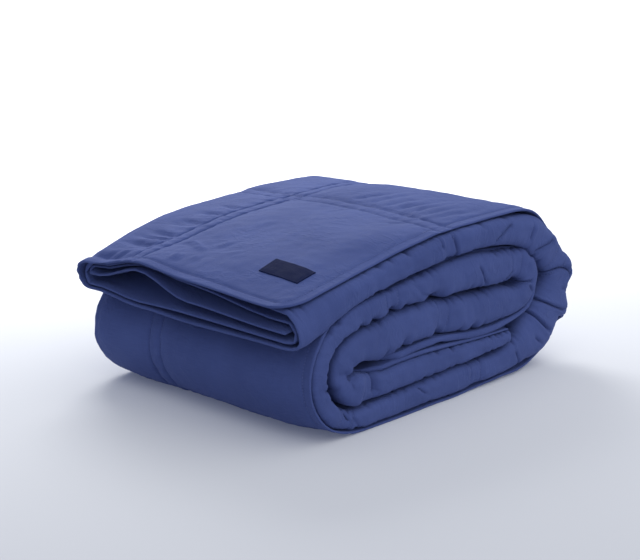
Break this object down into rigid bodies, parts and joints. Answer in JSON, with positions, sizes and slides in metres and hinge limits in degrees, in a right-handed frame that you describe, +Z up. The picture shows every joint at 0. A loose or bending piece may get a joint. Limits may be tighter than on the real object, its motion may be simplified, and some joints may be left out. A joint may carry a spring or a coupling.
{
  "type": "coverlet",
  "caption": "Quilted coverlet folded lengthwise into a strip of plies and wound into a flat oval roll, with its loose end open on top and a bare label sewn near one corner.",
  "frame": {"origin": "middle of the roll's footprint, on the surface that it lies on", "axes": "+X from the loose end towards the large turn of the roll, +Y along the strip's width from its hem to its outer fold, +Z up"},
  "size_m": [0.5164, 0.38, 0.2175],
  "materials": {
    "quilted_cloth": "matt cotton percale with quilting stitches",
    "label_cloth": "close woven label with a slight sheen"
  },
  "bodies": {
    "root": {"coverlet": "quilted_cloth", "label": "label_cloth"}
  },
  "joints": []
}
